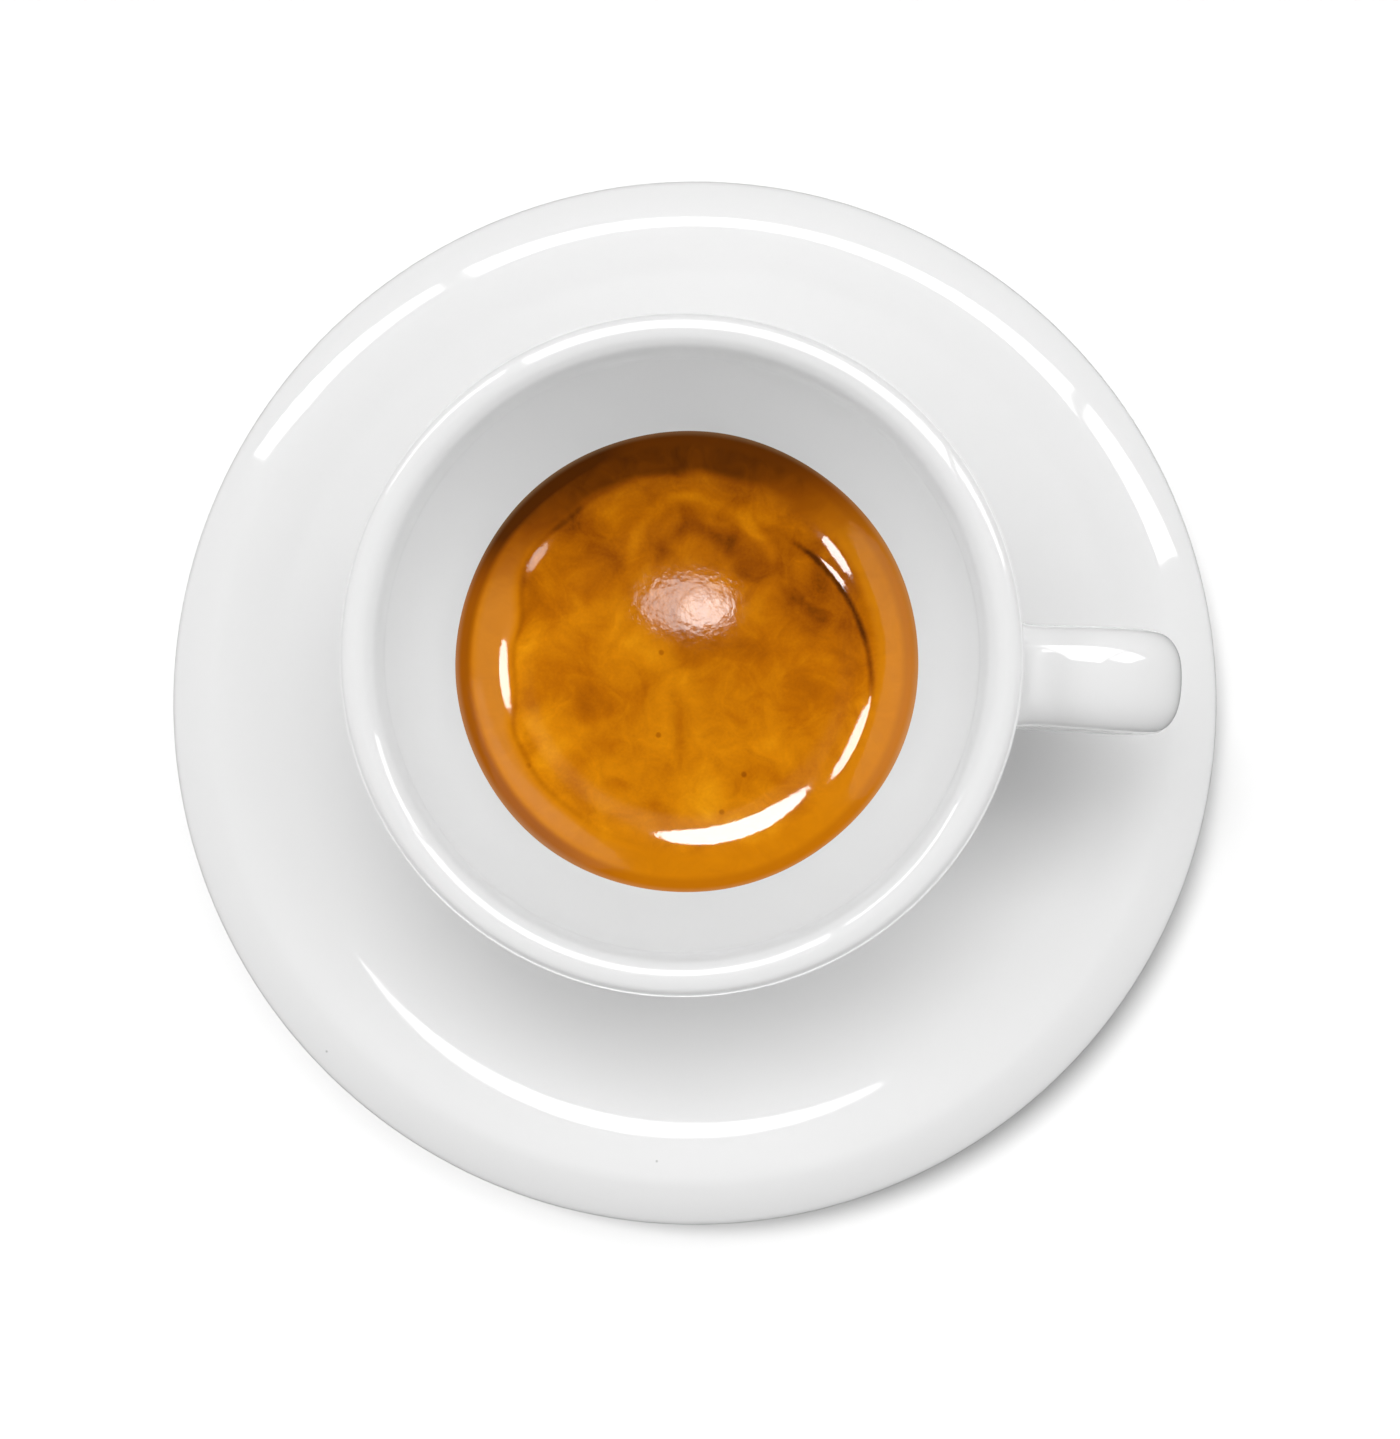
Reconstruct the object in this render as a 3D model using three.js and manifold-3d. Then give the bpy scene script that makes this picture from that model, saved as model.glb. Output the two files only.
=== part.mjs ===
// A single espresso in its thick porcelain cup, on the matching round saucer.
// Millimetres, +Z up. The origin is the centre of the saucer's foot, on the table,
// and the cup's handle points along +X.
import * as THREE from 'three';
import { mergeVertices } from 'three/addons/utils/BufferGeometryUtils.js';
import Module from 'manifold-3d';

// Sizes shared by all the pieces
const TURN_SEGMENTS = 60;
const RESTING_GAP = 0.3;

// Saucer: a flat well for the cup, a slope that eases towards the crest, and a rolled rim
const SAUCER_RADIUS = 60;
const WELL_FLOOR_Z = 6.5;
const WELL_RADIUS = 23.2;
const SLOPE_START = new THREE.Vector2(24.2, 7.3);
const SLOPE_START_ANGLE = 12;
const SLOPE_START_PULL = 7;
const SLOPE_END_PULL = 8;
const BRIM_ANGLE = 18;
const BRIM_RADIUS = 39;
const CREST = new THREE.Vector2(53.95, 16.41);
const CREST_INNER_ANGLE = 12.5;
const CREST_INNER_RADIUS = 18;
const CREST_OUTER_ANGLE = 16.7;
const CREST_OUTER_RADIUS = 4.36;
const FALL_ANGLE = 35;
const FALL_RADIUS = 14;
const EDGE_UNDER_ANGLE = 85;
const SAUCER_FOOT_OUTER = 33;
const SAUCER_FOOT_INNER = 29.4;
const SAUCER_FOOT_EDGE = 0.6;
const SAUCER_RECESS_Z = 2.2;
const SAUCER_UNDERSIDE = [
  [51, 9.9],
  [44, 7.4],
  [38, 4.8],
  [34.2, 2.4],
];

// Cup: it was set down a little off the saucer's middle, within the play of the well
const CUP_OFFSET = new THREE.Vector2(0, 3.45);
const CUP_HEIGHT = 56;
const CUP_RIM_RADIUS = 32.35;
const LIP_OUTER_RADIUS = 1.6;
const LIP_INNER_RADIUS = 1.8;
const LIP_FLAT = 0.2;
const LIP_INNER_ANGLE = 150;
const CUP_FOOT_OUTER = 19.6;
const CUP_FOOT_INNER = 16;
const CUP_FOOT_HEIGHT = 3;
const CUP_FOOT_EDGE = 0.6;
const CUP_RECESS_HEIGHT = 1.8;
const CUP_FLOOR_HEIGHT = 6.5;
const BOWL_TOP_HEIGHT = 28;
const BOWL_FLOOR_REACH = 17;
const BOWL_BEND_HEIGHT = 14;
const LIP_BLEND_HEIGHT = 51.5;
const INNER_TAPER = 0.28;
const BELLY_UPPER = new THREE.Vector2(31.9, 38);
const BELLY_LOWER = new THREE.Vector2(26, 15.5);
const BELLY_END = new THREE.Vector2(20.4, 4);

// Handle: one strap with rounded corners that arches a little at the top, turns down and
// runs back into the belly. It is a little wider at its outer end than at the cup.
const HANDLE_HALF_WIDTH = 5.2;
const HANDLE_ROOT_SHARE = 0.95;
const HANDLE_CROWN = 3.7;
const HANDLE_BACK = 2.8;
const HANDLE_SQUARENESS = 2.5;
const HANDLE_SECTION_POINTS = 20;
const HANDLE_STEPS = 26;
const HANDLE_ROUTE = [
  [29.5, 45.6],
  [32.4, 46.7],
  [36, 47.5],
  [39.4, 47.8],
  [42.2, 47.55],
  [44.5, 46.2],
  [45.5, 43.6],
  [45.4, 38.8],
  [43.6, 32.6],
  [39.4, 26.6],
  [33.2, 21.8],
  [21.4, 17.8],
];
const HANDLE_REACH = 49.2;
const HANDLE_FLARE = 0.15;
const HANDLE_FLARE_LENGTH = 1.5;

// Espresso: level in the middle, then a bowl of foam that climbs to the cup's wall
const CONTACT_RADIUS = 23.75;
const CONTACT_HEIGHT = 35.7;
const LEVEL_HEIGHT = 31.7;
const LEVEL_RADIUS = 14.9;
const FOAM_BEND_RADIUS = 11.1;
const FOAM_CORNER_RADIUS = 19.6;
const FOAM_WAVES = [
  [2, 0.16, 0.6],
  [3, 0.14, 2.1],
  [7, 0.08, 4],
];

const radians = THREE.MathUtils.degToRad;

function point(radius, height) {
  return new THREE.Vector2(radius, height);
}

// Unit direction in a profile, by its angle counted from the +radius direction
function way(angle) {
  return point(Math.cos(radians(angle)), Math.sin(radians(angle)));
}

// The centre of an arc whose surface at that place faces that way
function behind(place, angle, radius) {
  return place.clone().addScaledVector(way(angle), -radius);
}

// An arc of a profile, by angles counted from the +radius direction
function arc(centre, radius, fromAngle, toAngle, steps) {
  const points = [];
  for (let i = 0; i <= steps; i += 1) {
    const angle = radians(fromAngle + (i / steps) * (toAngle - fromAngle));
    points.push(point(centre.x + radius * Math.cos(angle), centre.y + radius * Math.sin(angle)));
  }
  return points;
}

// A profile of radius and height, turned about the Z axis
function turned(profile) {
  const geometry = new THREE.LatheGeometry(profile, TURN_SEGMENTS);
  geometry.rotateX(Math.PI / 2);
  return geometry;
}

function saucerGeometry() {
  // Inwards from the crest: a gentle arc, then a flatter one, then the slope down to the well
  const innerCentre = behind(CREST, 90, CREST_INNER_RADIUS);
  const inner = arc(innerCentre, CREST_INNER_RADIUS, 90 + CREST_INNER_ANGLE, 90, 2);
  const brimCentre = behind(inner[0], 90 + CREST_INNER_ANGLE, BRIM_RADIUS);
  const brim = arc(brimCentre, BRIM_RADIUS, 90 + BRIM_ANGLE, 90 + CREST_INNER_ANGLE, 2);
  const slope = new THREE.CubicBezierCurve(
    SLOPE_START,
    SLOPE_START.clone().addScaledVector(way(SLOPE_START_ANGLE), SLOPE_START_PULL),
    brim[0].clone().addScaledVector(way(BRIM_ANGLE), -SLOPE_END_PULL),
    brim[0],
  ).getPoints(5);

  // Outwards from the crest: a tight arc, the fall, and the round edge
  const outerCentre = behind(CREST, 90, CREST_OUTER_RADIUS);
  const outer = arc(outerCentre, CREST_OUTER_RADIUS, 90, 90 - CREST_OUTER_ANGLE, 1);
  const fallCentre = behind(outer[outer.length - 1], 90 - CREST_OUTER_ANGLE, FALL_RADIUS);
  const fall = arc(fallCentre, FALL_RADIUS, 90 - CREST_OUTER_ANGLE, 90 - FALL_ANGLE, 2);
  const fallEnd = fall[fall.length - 1];
  const edgeRadius = (SAUCER_RADIUS - fallEnd.x) / (1 - Math.sin(radians(FALL_ANGLE)));
  const edgeCentre = behind(fallEnd, 90 - FALL_ANGLE, edgeRadius);
  const edge = arc(edgeCentre, edgeRadius, 90 - FALL_ANGLE, -EDGE_UNDER_ANGLE, 5);

  const underside = new THREE.SplineCurve([
    edge[edge.length - 1],
    ...SAUCER_UNDERSIDE.map(([radius, height]) => point(radius, height)),
  ]).getPoints(6);

  // From the middle of the underside outwards, round the rim and back to the middle of the well
  const profile = [
    point(0, SAUCER_RECESS_Z),
    point(SAUCER_FOOT_INNER - SAUCER_FOOT_EDGE, SAUCER_RECESS_Z),
    point(SAUCER_FOOT_INNER, SAUCER_FOOT_EDGE),
    point(SAUCER_FOOT_INNER + SAUCER_FOOT_EDGE, 0),
    point(SAUCER_FOOT_OUTER - SAUCER_FOOT_EDGE, 0),
    point(SAUCER_FOOT_OUTER, SAUCER_FOOT_EDGE),
    ...underside.reverse(),
    ...edge.reverse().slice(1),
    ...fall.reverse().slice(1),
    ...outer.reverse().slice(1),
    ...inner.reverse().slice(1),
    ...brim.reverse().slice(1),
    ...slope.reverse().slice(1),
    point(WELL_RADIUS, WELL_FLOOR_Z),
    point(0, WELL_FLOOR_Z),
  ];
  return turned(profile);
}

// Radius of the cup's straight inner wall, which ends in the bowl below and the lip above
function innerWallRadius(height) {
  return CONTACT_RADIUS + INNER_TAPER * (height - CONTACT_HEIGHT);
}

// The bowl that closes the inside, from the middle of the floor up to the straight wall
function innerBowl(steps) {
  const curve = new THREE.CubicBezierCurve(
    point(0, CUP_FLOOR_HEIGHT),
    point(BOWL_FLOOR_REACH, CUP_FLOOR_HEIGHT),
    point(innerWallRadius(BOWL_BEND_HEIGHT), BOWL_BEND_HEIGHT),
    point(innerWallRadius(BOWL_TOP_HEIGHT), BOWL_TOP_HEIGHT),
  );
  return curve.getPoints(steps);
}

// The cup's outside, from the foot up to the lip
function bellyCurve(lipStart) {
  return new THREE.CubicBezierCurve(BELLY_END, BELLY_LOWER, BELLY_UPPER, lipStart);
}

function cupBodyGeometry() {
  const outerCentre = point(CUP_RIM_RADIUS - LIP_OUTER_RADIUS, CUP_HEIGHT - LIP_OUTER_RADIUS);
  const innerCentre = point(outerCentre.x - LIP_FLAT, CUP_HEIGHT - LIP_INNER_RADIUS);
  const lip = [
    ...arc(outerCentre, LIP_OUTER_RADIUS, 0, 90, 5),
    ...arc(innerCentre, LIP_INNER_RADIUS, 90, LIP_INNER_ANGLE, 3),
  ];
  const lipEnd = lip[lip.length - 1];
  const blendEnd = point(innerWallRadius(LIP_BLEND_HEIGHT), LIP_BLEND_HEIGHT);

  // The lip's last direction and the straight wall meet in the corner that the blend rounds
  const onwards = way(LIP_INNER_ANGLE + 90);
  const gap = lipEnd.x - innerWallRadius(lipEnd.y);
  const corner = lipEnd.clone().addScaledVector(onwards, gap / (INNER_TAPER * onwards.y - onwards.x));
  const blend = new THREE.QuadraticBezierCurve(lipEnd, corner, blendEnd).getPoints(3);

  const belly = bellyCurve(lip[0]).getPoints(9);

  // From the middle of the underside outwards, up the belly, over the lip and down the inside
  const profile = [
    point(0, CUP_RECESS_HEIGHT),
    point(CUP_FOOT_INNER - CUP_FOOT_EDGE, CUP_RECESS_HEIGHT),
    point(CUP_FOOT_INNER, CUP_FOOT_EDGE),
    point(CUP_FOOT_INNER + CUP_FOOT_EDGE, 0),
    point(CUP_FOOT_OUTER - CUP_FOOT_EDGE, 0),
    point(CUP_FOOT_OUTER, CUP_FOOT_EDGE),
    point(CUP_FOOT_OUTER, CUP_FOOT_HEIGHT),
    ...belly,
    ...lip.slice(1),
    ...blend.slice(1),
    ...innerBowl(8).reverse(),
  ];
  return turned(profile);
}

// The strap's section, an oval with fuller corners. Its first half faces the finger, and is
// flatter than the crown outside.
function handleSection() {
  const outline = [];
  const fuller = (value) => Math.sign(value) * Math.abs(value) ** (2 / HANDLE_SQUARENESS);
  for (let i = 0; i < HANDLE_SECTION_POINTS; i += 1) {
    const angle = (i / HANDLE_SECTION_POINTS) * 2 * Math.PI;
    const depth = Math.sin(angle) > 0 ? HANDLE_BACK : HANDLE_CROWN;
    outline.push(point(HANDLE_HALF_WIDTH * fuller(Math.cos(angle)), depth * fuller(Math.sin(angle))));
  }
  return new THREE.Shape(outline);
}

// The strap is narrower at the cup than at its outer end, and swells again just at the wall
function shapeWidth(geometry) {
  const belly = bellyCurve(point(CUP_RIM_RADIUS, CUP_HEIGHT - LIP_OUTER_RADIUS)).getPoints(60);
  const position = geometry.getAttribute('position');
  const vertex = new THREE.Vector3();
  for (let i = 0; i < position.count; i += 1) {
    vertex.fromBufferAttribute(position, i);
    const wall = belly.find((place) => place.y > vertex.z) ?? belly[belly.length - 1];
    const away = Math.max(vertex.x - wall.x, 0);
    const outwards = Math.min(away / (HANDLE_REACH - wall.x), 1);
    const taper = HANDLE_ROOT_SHARE + (1 - HANDLE_ROOT_SHARE) * outwards;
    vertex.y *= taper + HANDLE_FLARE * Math.exp(-away / HANDLE_FLARE_LENGTH);
    position.setXYZ(i, vertex.x, vertex.y, vertex.z);
  }
}

function handleGeometry() {
  const route = HANDLE_ROUTE.map(([x, z]) => new THREE.Vector3(x, 0, z));
  const geometry = new THREE.ExtrudeGeometry(handleSection(), {
    steps: HANDLE_STEPS,
    extrudePath: new THREE.CatmullRomCurve3(route),
  });
  shapeWidth(geometry);
  return geometry;
}

// The foam stands a little higher on the wall in some places than in others
function waveAt(angle) {
  let height = 0;
  for (const [count, size, phase] of FOAM_WAVES) {
    height += size * Math.sin(count * angle + phase);
  }
  return height;
}

function waveFoamEdge(geometry) {
  const position = geometry.getAttribute('position');
  for (let i = 0; i < position.count; i += 1) {
    const x = position.getX(i);
    const y = position.getY(i);
    const climb = (Math.hypot(x, y) - FOAM_CORNER_RADIUS) / (CONTACT_RADIUS - FOAM_CORNER_RADIUS);
    if (position.getZ(i) > LEVEL_HEIGHT && climb > 0) {
      position.setZ(i, position.getZ(i) + climb * waveAt(Math.atan2(y, x)));
    }
  }
}

function espressoGeometry() {
  const wall = [...innerBowl(7), point(innerWallRadius(LEVEL_HEIGHT), LEVEL_HEIGHT)];
  const sides = wall.map((here, i) => {
    const before = wall[Math.max(i - 1, 0)];
    const after = wall[Math.min(i + 1, wall.length - 1)];
    const along = after.clone().sub(before).normalize();
    return point(Math.max(here.x - along.y * RESTING_GAP, 0), here.y + along.x * RESTING_GAP);
  });

  const bendCentre = point(LEVEL_RADIUS, LEVEL_HEIGHT + FOAM_BEND_RADIUS);
  const cornerAngle = THREE.MathUtils.radToDeg(
    Math.asin((FOAM_CORNER_RADIUS - LEVEL_RADIUS) / FOAM_BEND_RADIUS),
  );
  const foam = arc(bendCentre, FOAM_BEND_RADIUS, -90 + cornerAngle, -90, 4);

  // From the middle of the floor up the sides, and back over the foam to the level middle
  const profile = [
    point(0, CUP_FLOOR_HEIGHT + RESTING_GAP),
    ...sides.slice(1),
    point(CONTACT_RADIUS - RESTING_GAP, CONTACT_HEIGHT),
    point((CONTACT_RADIUS + FOAM_CORNER_RADIUS) / 2, (CONTACT_HEIGHT + foam[0].y) / 2),
    ...foam,
    point(0, LEVEL_HEIGHT),
  ];
  const geometry = turned(profile);
  waveFoamEdge(geometry);
  return geometry;
}

// The body and the strap are one piece of porcelain, so they are joined into one solid
async function cupGeometry() {
  const library = await Module();
  library.setup();

  const solid = (geometry) => {
    geometry.deleteAttribute('normal');
    geometry.deleteAttribute('uv');
    const merged = mergeVertices(geometry);
    const corners = merged.getIndex().array;
    const triVerts = [];
    for (let i = 0; i < corners.length; i += 3) {
      const [a, b, c] = [corners[i], corners[i + 1], corners[i + 2]];
      if (a !== b && b !== c && c !== a) {
        triVerts.push(a, b, c);
      }
    }
    return new library.Manifold(new library.Mesh({
      numProp: 3,
      vertProperties: new Float32Array(merged.getAttribute('position').array),
      triVerts: new Uint32Array(triVerts),
    }));
  };

  const joined = solid(cupBodyGeometry()).add(solid(handleGeometry())).getMesh();
  const geometry = new THREE.BufferGeometry();
  geometry.setAttribute('position', new THREE.BufferAttribute(joined.vertProperties, 3));
  geometry.setIndex(new THREE.BufferAttribute(joined.triVerts, 1));
  return geometry;
}

function piece(name, geometry, look) {
  const mesh = new THREE.Mesh(geometry, new THREE.MeshStandardMaterial(look));
  mesh.name = name;
  return mesh;
}

const PORCELAIN = { color: 0xeeeeee, roughness: 0.08, metalness: 0 };
const CREMA = { color: 0xbe7412, roughness: 0.35, metalness: 0 };

const saucer = piece('saucer', saucerGeometry(), PORCELAIN);

// The cup and what is in it stand together in the saucer's well
const cupAndDrink = new THREE.Group();
cupAndDrink.position.set(CUP_OFFSET.x, CUP_OFFSET.y, WELL_FLOOR_Z + RESTING_GAP);
cupAndDrink.add(piece('cup', await cupGeometry(), PORCELAIN));
cupAndDrink.add(piece('espresso', espressoGeometry(), CREMA));

const espressoInCup = new THREE.Group();
espressoInCup.add(saucer, cupAndDrink);

export default espressoInCup;
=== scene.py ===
# %% [markdown]
# An espresso in its porcelain cup, seen from almost straight above.
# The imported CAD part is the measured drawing. Each of its three solids is replaced here by
# a finer piece of the same form: the saucer, the cup with its handle, and the coffee.
# Everything is written in millimetres and turned to Blender's metres by one factor.

# %% Load the measured part
import math
import bmesh
import bpy
from mathutils import Matrix, Vector


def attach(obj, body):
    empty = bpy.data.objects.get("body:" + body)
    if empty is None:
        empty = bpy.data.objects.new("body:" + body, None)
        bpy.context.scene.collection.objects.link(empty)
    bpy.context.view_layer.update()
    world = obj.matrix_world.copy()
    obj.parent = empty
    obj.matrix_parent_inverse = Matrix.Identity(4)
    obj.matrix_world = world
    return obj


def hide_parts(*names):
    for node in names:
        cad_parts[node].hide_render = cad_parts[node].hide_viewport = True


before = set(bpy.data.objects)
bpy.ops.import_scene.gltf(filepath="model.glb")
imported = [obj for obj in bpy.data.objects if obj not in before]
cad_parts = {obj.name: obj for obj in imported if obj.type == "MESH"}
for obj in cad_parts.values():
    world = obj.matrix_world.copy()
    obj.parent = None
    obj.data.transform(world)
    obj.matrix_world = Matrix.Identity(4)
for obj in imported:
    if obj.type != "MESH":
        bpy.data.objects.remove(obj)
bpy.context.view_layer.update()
MM = 0.001
print("CAD nodes:", sorted(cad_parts))

# %% [markdown]
# The camera comes first, because every later judgement is made through it.
# It hangs about 27 cm above the saucer, a little to the right of and below the middle, and
# looks almost straight down. The picture is turned by three degrees against the handle. A
# matrix with the picture's right, its up and the way back to the camera says all of it.

# %% Camera
CAMERA_AT = Vector((7.65, -5.52, 283.3)) * MM
CAMERA_AIM = Vector((1.02, -2.02, 13.07)) * MM
PICTURE_TURN = math.radians(3.06)
SENSOR_WIDTH = 36
LENS_LENGTH = 58.84

camera_data = bpy.data.cameras.new("camera_above")
camera_data.sensor_width = SENSOR_WIDTH
camera_data.lens = LENS_LENGTH
camera = bpy.data.objects.new("camera_above", camera_data)
bpy.context.scene.collection.objects.link(camera)
bpy.context.scene.camera = camera

backwards = (CAMERA_AT - CAMERA_AIM).normalized()
picture_right = Vector((math.cos(PICTURE_TURN), math.sin(PICTURE_TURN), 0))
picture_up = backwards.cross(picture_right).normalized()
picture_right = picture_up.cross(backwards)
camera.matrix_world = Matrix.Translation(CAMERA_AT) @ Matrix(
    (picture_right, picture_up, backwards)
).transposed().to_4x4()
print("camera height above the table in mm:", round(camera.matrix_world.translation.z / MM, 1))

# %% [markdown]
# White porcelain and white paper differ by a few per cent of brightness only.
# The Standard view transform keeps such tones where they are, where a film-like one would
# grey them and fade the orange of the coffee.

# %% View transform
bpy.context.scene.view_settings.view_transform = "Standard"
print("view transform:", bpy.context.scene.view_settings.view_transform)

# %% [markdown]
# Saucer and cup were turned on a wheel, so a profile spun about the upright axis is the
# honest way to make them. These helpers draw the profile: arcs that are given by the slope
# they start and end with, and a Bezier curve for the long stretches between them.

# %% Profile helpers
MERGE_WITHIN = 0.0005 * MM


def rounded(centre, radius, from_angle, to_angle, steps):
    """Points of an arc, by angles in degrees counted from the outward direction."""
    points = []
    for i in range(steps + 1):
        angle = math.radians(from_angle + (to_angle - from_angle) * i / steps)
        points.append(centre + radius * Vector((math.cos(angle), math.sin(angle))))
    return points


def swept(ends, handles, steps):
    """Points of a cubic Bezier curve between two ends, pulled towards two handles."""
    (a, d), (b, c) = ends, handles
    points = []
    for i in range(steps + 1):
        t = i / steps
        s = 1 - t
        points.append(s**3 * a + 3 * s * s * t * b + 3 * s * t * t * c + t**3 * d)
    return points


def way(angle):
    """Unit direction in the profile that climbs outwards at that many degrees."""
    return Vector((math.cos(math.radians(angle)), math.sin(math.radians(angle))))


def spun(profile, segments):
    """A bmesh of a profile of radius and height in mm, spun a full turn."""
    mesh = bmesh.new()
    corners = [mesh.verts.new((radius * MM, 0, height * MM)) for radius, height in profile]
    edges = [mesh.edges.new(pair) for pair in zip(corners, corners[1:])]
    bmesh.ops.spin(
        mesh,
        geom=corners + edges,
        axis=(0, 0, 1),
        cent=(0, 0, 0),
        angle=2 * math.pi,
        steps=segments,
        use_merge=True,
    )
    bmesh.ops.remove_doubles(mesh, verts=mesh.verts, dist=MERGE_WITHIN)
    bmesh.ops.recalc_face_normals(mesh, faces=mesh.faces)
    return mesh


# %% [markdown]
# A finished piece is an object at the origin whose place is in its mesh. It rides on the
# part's one body and stands for its CAD solid, which it hides.

# %% Helper that hands a mesh over as a piece


def finished_piece(mesh, name, node, sharp_above):
    """Turns a bmesh into a smooth piece, with sharp edges above that many degrees."""
    data = bpy.data.meshes.new(name)
    mesh.to_mesh(data)
    mesh.free()
    data.shade_smooth()
    data.set_sharp_from_angle(angle=math.radians(sharp_above))
    piece = bpy.data.objects.new(name, data)
    bpy.context.scene.collection.objects.link(piece)
    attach(piece, "root")
    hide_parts(node)
    print(name, "faces:", len(data.polygons))
    return piece


# %% [markdown]
# The saucer is a shallow dish with a flat well for the cup's foot. Its slope is steepest
# half way out, eases towards the rim, and rolls over a crest that is gentle inside and
# tight outside. The mirrored window draws bright arcs just there, so their width and
# place depend on these radii more than the outline does.

# %% Saucer profile
SAUCER_RADIUS = 60
WELL_RADIUS = 23.2
WELL_FLOOR = 6.5
WELL_STEP = [(-1, 0), (0, 0.1), (0.5, 0.5)]
SLOPE_START = Vector((24.2, 7.3))
SLOPE_START_ANGLE = 12
SLOPE_PULLS = (7, 8)
BRIM_ANGLE = 18
BRIM_RADIUS = 39
CREST_INNER_ANGLE = 12.5
CREST_INNER_RADIUS = 18
CREST = Vector((53.95, 16.41))
CREST_OUTER_RADIUS = 4.36
CREST_OUTER_ANGLE = 16.7
FALL_RADIUS = 14
FALL_ANGLE = 35
EDGE_UNDER_ANGLE = 85
SAUCER_UNDERSIDE = [(51, 9.9), (44, 7.4), (38, 4.8), (34.2, 2.4)]
SAUCER_FOOT = [(33, 0.6), (32.4, 0), (30, 0), (29.4, 0.6), (28.8, 2.2), (0, 2.2)]

crest_inner = CREST - CREST_INNER_RADIUS * Vector((0, 1))
inner_arc = rounded(crest_inner, CREST_INNER_RADIUS, 90 + CREST_INNER_ANGLE, 90, 6)
brim_centre = inner_arc[0] - BRIM_RADIUS * way(90 + CREST_INNER_ANGLE)
brim_arc = rounded(brim_centre, BRIM_RADIUS, 90 + BRIM_ANGLE, 90 + CREST_INNER_ANGLE, 5)
slope_handles = (
    SLOPE_START + SLOPE_PULLS[0] * way(SLOPE_START_ANGLE),
    brim_arc[0] - SLOPE_PULLS[1] * way(BRIM_ANGLE),
)
slope_curve = swept((SLOPE_START, brim_arc[0]), slope_handles, 16)
crest_outer = CREST - CREST_OUTER_RADIUS * Vector((0, 1))
outer_arc = rounded(crest_outer, CREST_OUTER_RADIUS, 90, 90 - CREST_OUTER_ANGLE, 6)
fall_centre = outer_arc[-1] - FALL_RADIUS * way(90 - CREST_OUTER_ANGLE)
fall_arc = rounded(fall_centre, FALL_RADIUS, 90 - CREST_OUTER_ANGLE, 90 - FALL_ANGLE, 8)
edge_radius = (SAUCER_RADIUS - fall_arc[-1].x) / (1 - math.sin(math.radians(FALL_ANGLE)))
edge_centre = fall_arc[-1] - edge_radius * way(90 - FALL_ANGLE)
edge_arc = rounded(edge_centre, edge_radius, 90 - FALL_ANGLE, -EDGE_UNDER_ANGLE, 12)
underside = [edge_arc[-1]] + [Vector(point) for point in SAUCER_UNDERSIDE]
print("saucer edge radius in mm:", round(edge_radius, 2), "at height", round(edge_centre.y, 2))

saucer_profile = [
    Vector((0, WELL_FLOOR)),
    *[Vector((WELL_RADIUS + out, WELL_FLOOR + up)) for out, up in WELL_STEP],
    *slope_curve,
    *brim_arc[1:],
    *inner_arc[1:],
    *outer_arc[1:],
    *fall_arc[1:],
    *edge_arc[1:],
    *underside[1:],
    *[Vector(point) for point in SAUCER_FOOT],
]

# %% Saucer
SAUCER_SEGMENTS = 192
SAUCER_SHARP_ABOVE = 50
saucer = finished_piece(
    spun(saucer_profile, SAUCER_SEGMENTS),
    "saucer_body",
    "saucer",
    SAUCER_SHARP_ABOVE,
)

# %% [markdown]
# The cup is one piece of thick porcelain: a turned body and a strap handle that was stuck
# on while the clay was soft, so that the joints are smooth. A subdivision surface gives
# such joints by itself. The body is spun as a coarse cage, two windows are cut out of it
# where the strap lands, and the strap is bridged to them. A cage lies outside its smooth
# surface, so a helper first moves the cage's points until the smooth surface passes
# through the profile that was asked for.

# %% Cup sizes
CUP_PLACE = Vector((0, 3.45, 6.8))
CUP_HEIGHT = 56
RIM_RADIUS = 32.35
LIP_OUTER_RADIUS = 1.6
LIP_INNER_RADIUS = 1.8
LIP_FLAT = 0.2
LIP_INNER_ANGLE = 150
LIP_BLEND_HEIGHT = 51.5
LIP_BLEND_PULLS = (0.8, 0.9)
CONTACT = Vector((23.75, 35.7))
INNER_TAPER = 0.28
WALL_ROWS = (48, 44.5, 41, 37.5, 34, 31)
BOWL_TOP_HEIGHT = 28
BOWL_BEND_HEIGHT = 14
BOWL_FLOOR_REACH = 17
CUP_FLOOR = 6.5
CUP_FOOT = [(0, 1.8), (8, 1.8), (14.6, 1.8), (15.6, 1.2), (16.2, 0.3), (17, 0), (18.4, 0)]
CUP_FOOT_SIDE = [(19.2, 0.3), (19.6, 1.2), (19.7, 2.6)]
BELLY_ENDS = (Vector((20.4, 4)), Vector((RIM_RADIUS, CUP_HEIGHT - LIP_OUTER_RADIUS)))
BELLY_HANDLES = (Vector((26, 15.5)), Vector((31.9, 38)))
STRAP_ROWS = {"low": (14.2, 18, 21.8), "high": (43.2, 44.9, 46.6, 48.3, 50)}
BELLY_ROWS = (4.2, 7.5, 11, *STRAP_ROWS["low"], 27, 31.5, 35.5, 39.5, *STRAP_ROWS["high"])

# %% Cup profile


def wall_radius(height):
    """Radius of the straight inner wall."""
    return CONTACT.x + INNER_TAPER * (height - CONTACT.y)


def on_belly(height):
    """The point of the belly's curve at a height, found by walking along the curve."""
    curve = swept(BELLY_ENDS, BELLY_HANDLES, 400)
    return min(curve, key=lambda point: abs(point.y - height))


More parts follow.
